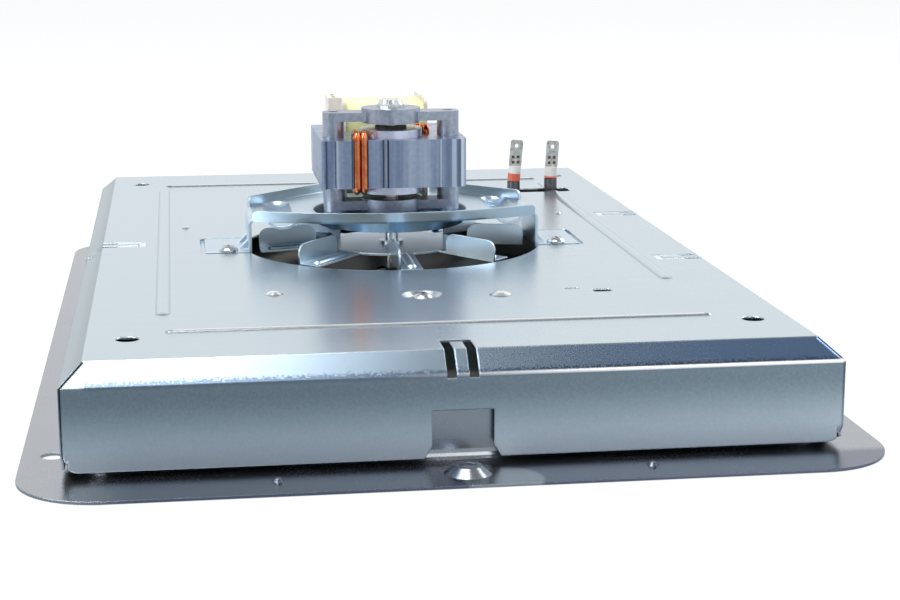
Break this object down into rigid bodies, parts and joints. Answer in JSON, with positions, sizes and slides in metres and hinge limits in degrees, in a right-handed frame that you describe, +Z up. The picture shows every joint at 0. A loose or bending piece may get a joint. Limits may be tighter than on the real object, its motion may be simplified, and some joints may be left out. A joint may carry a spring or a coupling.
{
  "type": "oven convection fan and heater module",
  "caption": "Shaded-pole motor with a cooling fan on a bridge over a folded cover; below, a flanged pan with a convection wheel and ring heater.",
  "frame": {"origin": "on the motor's axis, in the plane of the flange's underside, the middle of the flange", "axes": "+X across the flange, +Y along its length towards the heater terminals, +Z up along the shaft from the oven side to the motor"},
  "size_m": [0.29, 0.461, 0.1002],
  "materials": {
    "pan": "satin, greenish grey, lightly scratched",
    "cover": "galvanised, fine brushing across",
    "bracket": "galvanised, bright",
    "screw": "zinc plated",
    "lamination": "blued, stacked sheets",
    "bobbin": "moulded, satin",
    "copper": "bare copper, bright",
    "tape": "pale yellow insulating tape",
    "die_cast": "as cast",
    "bronze": "sintered bronze",
    "bright_steel": "bright",
    "rotor_alloy": "cast, matt",
    "washer": "black fibre",
    "fan": "galvanised, bright",
    "wheel": "plain",
    "sheath": "dark oxide",
    "seal": "orange red silicone",
    "ceramic": "white ceramic, matt",
    "tab": "plain spade tab"
  },
  "bodies": {
    "housing": {"oven_pan": "pan", "rear_cover": "cover", "cover_spacers": "pan", "cover_screw": "screw", "motor_bracket": "bracket", "bracket_screws": "screw", "stator_laminations": "lamination", "coil_core": "lamination", "bobbin": "bobbin", "coil_winding": "copper", "coil_tape": "tape", "front_shading_rings": "copper", "rear_shading_rings": "copper", "upper_bearing_bracket": "die_cast", "lower_bearing_bracket": "die_cast", "upper_bearing": "bronze", "lower_bearing": "bronze", "upper_bearing_cap": "bright_steel", "lower_bearing_cap": "bright_steel", "motor_screws": "screw", "heater_tube": "sheath", "heater_plate": "wheel", "heater_screws": "screw", "heater_clips": "wheel", "terminal_seals": "seal", "terminal_ceramics": "ceramic", "terminal_tabs": "tab"},
    "rotor": {"rotor_core": "lamination", "rotor_cage": "rotor_alloy", "shaft": "bright_steel", "upper_thrust_washer": "washer", "lower_thrust_washer": "washer", "cooling_fan": "fan", "fan_hub": "bright_steel", "convection_wheel": "wheel", "wheel_hub": "bright_steel", "wheel_nut": "screw"}
  },
  "joints": [
    {"name": "rotor_spin", "type": "hinge", "parent": "housing", "child": "rotor", "pos_m": [0, 0, 0.0745], "axis": [0, 0, 1], "continuous": true}
  ]
}
